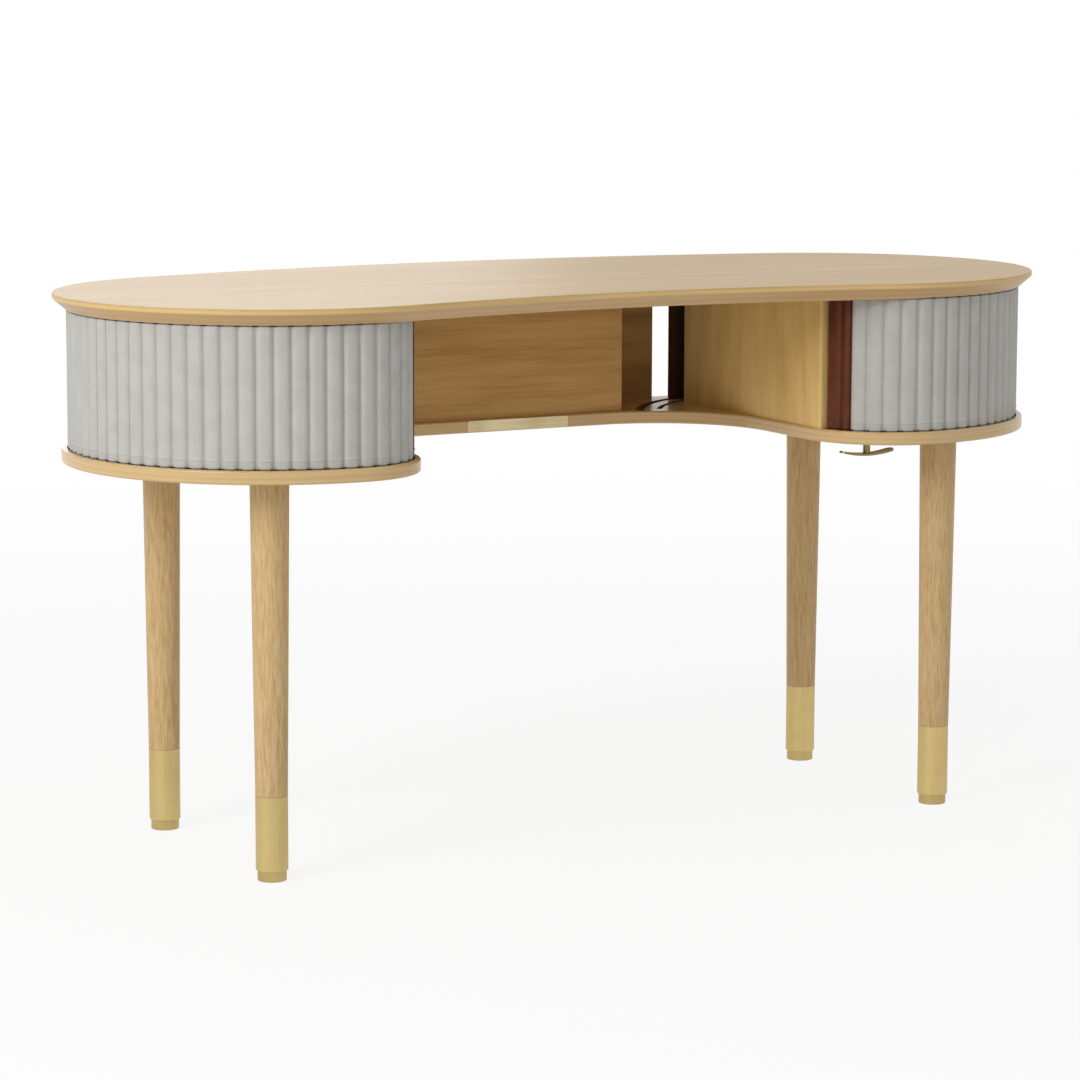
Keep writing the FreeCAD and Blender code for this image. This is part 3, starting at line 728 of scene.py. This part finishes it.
def section_shrink(distance, hem_share):
    """How far the section draws in at a distance from the nearer end."""
    dip = HEM_DIP * math.exp(-((distance - HEM) / HEM_WIDTH) ** 2)
    past_ridge = distance - HEM - HEM_RIDGE_ABOVE
    slope = HEM_SLOPE_ABOVE if past_ridge > 0 else HEM_SLOPE_BELOW
    ridge = HEM_RIDGE * math.exp(-(past_ridge / slope) ** 2)
    return rounding(distance, END_ROUND) + hem_share * (dip - ridge)


# %% Slat mesh
TONGUE_THICK = 0.005
TONGUE_SHARE = 0.6
TONGUE_REACH = 0.0077
BODY_RINGS = 12


def join_rings(mesh, below, above):
    for index in range(len(below)):
        following = (index + 1) % len(below)
        mesh.faces.new((below[index], below[following], above[following], above[index]))


def add_block(mesh, half_x, half_y, low, high):
    corners = [(SLAT_THICK / 2 + sx * half_x, sy * half_y) for sx, sy in ((-1, -1), (1, -1), (1, 1), (-1, 1))]
    bottom = [mesh.verts.new((x, y, low)) for x, y in corners]
    top = [mesh.verts.new((x, y, high)) for x, y in corners]
    mesh.faces.new(list(reversed(bottom)))
    mesh.faces.new(top)
    join_rings(mesh, bottom, top)


def slat_mesh(name, pitch, side):
    length = slat_high - slat_low
    ends = end_distances()
    body = np.linspace(ends[-1], length - ends[-1], BODY_RINGS)[1:-1]
    heights = ends + list(body) + [length - value for value in reversed(ends)]
    outline = slat_outline(pitch)
    if side == "left":
        outline = [(x, -y) for x, y in reversed(outline)]
    mesh = bmesh.new()
    rings = []
    for height in heights:
        distance = min(height, length - height)
        in_lower_half = height < length / 2
        shrink = section_shrink(distance, 1.0 if in_lower_half else UPPER_HEM_SHARE)
        corner_round = LOWER_CORNER_ROUND if in_lower_half else UPPER_CORNER_ROUND
        narrowing = 1 - 2 * rounding(distance, corner_round) / pitch
        rings.append([mesh.verts.new((x - shrink * (x / SLAT_THICK) ** 2, y * narrowing, slat_low + height))
                      for x, y in outline])
    for below, above in zip(rings, rings[1:]):
        join_rings(mesh, below, above)
    mesh.faces.new(list(reversed(rings[0])))
    mesh.faces.new(rings[-1])
    half_tongue = pitch * TONGUE_SHARE / 2
    add_block(mesh, TONGUE_THICK / 2, half_tongue, shelf_high.z - TONGUE_REACH, slat_low + END_ROUND)
    add_block(mesh, TONGUE_THICK / 2, half_tongue, slat_high - END_ROUND, top_low.z + TONGUE_REACH)
    data = bpy.data.meshes.new(name)
    mesh.to_mesh(data)
    mesh.free()
    return data


slat_meshes = {(side, pitch): slat_mesh(side + "_slat", pitch, side)
               for side in ("left", "right") for pitch in (SLAT_PITCH, LEAD_PULL_PITCH, PULL_SLAT_PITCH)}
print("slat:", len(slat_meshes["right", SLAT_PITCH].polygons), "faces")

# %% [markdown]
# ## A run of slats
# Slats repeat along the track, so Geometry Nodes place them. The tree takes the slat, stands copies of it
# at equal angles on a circle, turns each to face outwards, and lets the leather wander a little so no two
# look alike. The curtain is one run on the end circle; each leading slat is a run of one.

# %% Slat run tree
RIPPLE = {"Scale": 34.0, "Detail": 2.0}
NOISE_MIDDLE = (0.5, 0.5, 0.5)
LEVEL_ONLY = (1.0, 1.0, 0.0)
RUN_INPUTS = (("Slat", "NodeSocketGeometry"), ("Count", "NodeSocketInt"),
              ("First Angle", "NodeSocketFloat"), ("Step Angle", "NodeSocketFloat"),
              ("Radius", "NodeSocketFloat"), ("Centre", "NodeSocketVector"),
              ("Wander", "NodeSocketFloat"), ("Seed", "NodeSocketInt"), ("Leather", "NodeSocketMaterial"))

run_tree = bpy.data.node_groups.new("slat_run", "GeometryNodeTree")
run_sockets = {label: run_tree.interface.new_socket(label, in_out="INPUT", socket_type=kind).identifier
               for label, kind in RUN_INPUTS}
run_tree.interface.new_socket("Run", in_out="OUTPUT", socket_type="NodeSocketGeometry")
run_in = run_tree.nodes.new("NodeGroupInput").outputs
run_out = run_tree.nodes.new("NodeGroupOutput").inputs


def run_node(kind, sources, values=None, **settings):
    """Outputs of a new node whose inputs, by name or place, are linked to these sources."""
    node = add_node(run_tree, kind, values, **settings)
    for socket, source in sources.items():
        link(run_tree, source, node.inputs[socket])
    return node.outputs


def run_math(operation, a, b=None):
    return math_node(run_tree, operation, a, b)


copy_number = run_node("GeometryNodeInputIndex", {})[0]
angle = run_math("ADD", run_in["First Angle"], run_math("MULTIPLY", copy_number, run_in["Step Angle"]))
spot_x = run_math("MULTIPLY", run_in["Radius"], run_math("COSINE", angle))
spot_y = run_math("MULTIPLY", run_in["Radius"], run_math("SINE", angle))
spot = run_node("ShaderNodeCombineXYZ", {"X": spot_x, "Y": spot_y})
standing = run_node("ShaderNodeVectorMath", {0: spot[0], 1: run_in["Centre"]}, operation="ADD")
facing = run_node("ShaderNodeCombineXYZ", {"Z": angle})
points = run_node("GeometryNodePoints", {"Count": run_in["Count"], "Position": standing[0]})
copies = run_node("GeometryNodeInstanceOnPoints",
                  {"Points": points[0], "Instance": run_in["Slat"], "Rotation": facing[0]})
realized = run_node("GeometryNodeRealizeInstances", {0: copies[0]})
ripple = run_node("ShaderNodeTexNoise", {"W": run_in["Seed"]}, RIPPLE, noise_dimensions="4D")
centred = run_node("ShaderNodeVectorMath", {0: ripple["Color"]}, {1: NOISE_MIDDLE}, operation="SUBTRACT")
level = run_node("ShaderNodeVectorMath", {0: centred[0]}, {1: LEVEL_ONLY}, operation="MULTIPLY")
wander = run_node("ShaderNodeVectorMath", {0: level[0], "Scale": run_in["Wander"]}, operation="SCALE")
moved = run_node("GeometryNodeSetPosition", {"Geometry": realized[0], "Offset": wander[0]})
covered = run_node("GeometryNodeSetMaterial", {"Geometry": moved[0], "Material": run_in["Leather"]})
link(run_tree, covered[0], run_out[0])
print("slat run tree:", len(run_tree.nodes), "nodes")

# %% [markdown]
# Each run becomes a plain mesh that rides on its body and takes the place of the frame's solid. A run on
# the left is the mirror of the one on the right. Every run has a seed of its own for its leather.

# %% Make the runs
LEATHER_WANDER = 0.0005
SHARP_ANGLE = math.radians(50)
FIRST_SEEDS = {"left": 1, "right": 41}
PULL_SEED, LEAD_SEED = 1, 3
GREY_COUNT = SLAT_COUNT - LEAD_SLATS - PULL_SLATS
FIRST_GREY = LEAD_SLATS + 1
FIRST_REAR_PULL = SLAT_COUNT - PULL_SLATS + 1


def slat_run(name, slat_data, values):
    """One run of slats as a plain mesh at the origin."""
    holder = bpy.data.objects.new(name + "_source", slat_data)
    bpy.context.scene.collection.objects.link(holder)
    modifier = holder.modifiers.new("run", "NODES")
    modifier.node_group = run_tree
    for label, value in values.items():
        modifier[run_sockets[label]] = value
    bpy.context.view_layer.update()
    evaluated = holder.evaluated_get(bpy.context.evaluated_depsgraph_get())
    data = bpy.data.meshes.new_from_object(evaluated)
    data.name = name
    holder.modifiers.remove(modifier)
    bpy.data.objects.remove(holder)
    data.shade_smooth()
    data.set_sharp_from_angle(angle=SHARP_ANGLE)
    return data


def track_place(length):
    """Centre, radius and outward angle of a slat with its middle this far ahead of the arcs' junction."""
    if length > 0:
        return (corner_x, corner_y), track_corner, junction - length / track_corner
    return (pod_x, pod_y), track_radius, junction - length / track_radius


def run_values(side, first, count, leather, seed):
    ahead = front_length - sum(pitches[:first - 1]) - pitches[first - 1] / 2
    (x, y), radius, first_angle = track_place(ahead)
    step = pitches[first - 1] / track_radius
    if side == "left":
        x, first_angle, step = -x, math.pi - first_angle, -step
    return {"Count": count, "First Angle": first_angle, "Step Angle": step, "Radius": radius,
            "Centre": (x, y, 0.0), "Wander": LEATHER_WANDER, "Seed": seed, "Leather": leather}


def put_on(data, body, node):
    piece = bpy.data.objects.new(data.name, data)
    bpy.context.scene.collection.objects.link(piece)
    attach(piece, body)
    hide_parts(node)


def make_slats(side, name, first, count, leather, seed):
    slat_data = slat_meshes[side, pitches[first - 1]]
    return slat_run(side + name, slat_data, run_values(side, first, count, leather, seed))


for side, seed in FIRST_SEEDS.items():
    curtain = side + "_curtain"
    grey_run = make_slats(side, "_grey_slats", FIRST_GREY, GREY_COUNT, grey_leather, seed)
    put_on(grey_run, curtain, side + "_tambour_slats")
    pull_run = make_slats(side, "_rear_pull", FIRST_REAR_PULL, PULL_SLATS, brown_leather, seed + PULL_SEED)
    put_on(pull_run, curtain, side + "_rear_pull_slats")
    for number in range(1, LEAD_SLATS + 1):
        is_pull = number <= PULL_SLATS
        leather, slot = (brown_leather, "brown_leather") if is_pull else (grey_leather, "grey_leather")
        node = "%s_lead_slat_%d" % (side, number)
        lead_run = make_slats(side, "_lead_%d" % number, number, 1, leather, seed + LEAD_SEED + number)
        put_on(lead_run, node, node)
    print(side, "tambour: grey run has", len(grey_run.polygons), "faces")

# %% [markdown]
# ## The studio
# A pale seamless floor and a white surround, with one broad soft lamp high on the left and a weaker one
# behind. The floor and the world are almost white to the camera and to reflections, while the light that
# they throw on the desk stays at a plain level, so each colour renders about as written. The floor keeps
# the desk's shadow.

# %% Floor and world
FLOOR_HALF = 30.0
FLOOR_GLOW_NEAR, FLOOR_GLOW_FAR = 0.86, 1.0
FLOOR_NEAR, FLOOR_FAR = 0.9, 4.5
FLOOR_TONE = 0.82
AMBIENT = 0.63
WHITE = (1, 1, 1, 1)


def seen_directly(tree):
    """One where a ray comes from the camera, a reflection or a transmission."""
    path = tree.nodes.new("ShaderNodeLightPath")
    glossy = math_node(tree, "MAXIMUM", path.outputs["Is Glossy Ray"], path.outputs["Is Transmission Ray"])
    return math_node(tree, "MAXIMUM", path.outputs["Is Camera Ray"], glossy)


def mix_shaders(tree, factor, first, second):
    node = tree.nodes.new("ShaderNodeMixShader")
    for index, source in enumerate((factor, first, second)):
        link(tree, source, node.inputs[index])
    return node.outputs[0]


def floor_material():
    material = bpy.data.materials.new("studio_floor")
    material.use_nodes = True
    tree = material.node_tree
    tree.nodes.clear()
    surface = add_node(tree, "ShaderNodeBsdfDiffuse", {"Color": (FLOOR_TONE, FLOOR_TONE, FLOOR_TONE, 1)})
    glow = add_node(tree, "ShaderNodeEmission", {"Color": WHITE, "Strength": 1.0})
    distance = add_node(tree, "ShaderNodeVectorMath", operation="LENGTH")
    link(tree, tree.nodes.new("ShaderNodeTexCoord").outputs["Object"], distance.inputs[0])
    glow_share = remap(tree, distance.outputs["Value"], FLOOR_NEAR, FLOOR_FAR,
                       FLOOR_GLOW_NEAR, FLOOR_GLOW_FAR)
    softened = mix_shaders(tree, glow_share, surface.outputs[0], glow.outputs[0])
    chosen = mix_shaders(tree, seen_directly(tree), surface.outputs[0], softened)
    output = tree.nodes.new("ShaderNodeOutputMaterial")
    link(tree, chosen, output.inputs["Surface"])
    return material


floor_data = bpy.data.meshes.new("floor")
floor_data.from_pydata([(-FLOOR_HALF, -FLOOR_HALF, 0), (FLOOR_HALF, -FLOOR_HALF, 0),
                        (FLOOR_HALF, FLOOR_HALF, 0), (-FLOOR_HALF, FLOOR_HALF, 0)], [], [(0, 1, 2, 3)])
floor_data.materials.append(floor_material())
floor = bpy.data.objects.new("floor", floor_data)
bpy.context.scene.collection.objects.link(floor)

world = bpy.data.worlds.new("studio")
world.use_nodes = True
bpy.context.scene.world = world
sky = world.node_tree
background = sky.nodes["Background"]
background.inputs["Color"].default_value = WHITE
link(sky, remap(sky, seen_directly(sky), 0.0, 1.0, AMBIENT, 1.0), background.inputs["Strength"])

# %% Lamps
DESK_MIDDLE = (0.0, 0.0, 0.6)


def soft_lamp(name, place, target, size, power):
    data = bpy.data.lights.new(name, "AREA")
    data.shape = "DISK"
    data.size = size
    data.energy = power
    lamp = bpy.data.objects.new(name, data)
    lamp.location = place
    lamp.rotation_euler = (Vector(target) - Vector(place)).to_track_quat("-Z", "Y").to_euler()
    bpy.context.scene.collection.objects.link(lamp)


soft_lamp("key_left", (-3.8, -1.5, 2.6), DESK_MIDDLE, size=2.0, power=82.0)
soft_lamp("sheen_rear", (1.35, 5.0, 1.4), DESK_MIDDLE, size=2.5, power=19.0)
bpy.context.scene.view_settings.view_transform = "Standard"
print("studio ready")
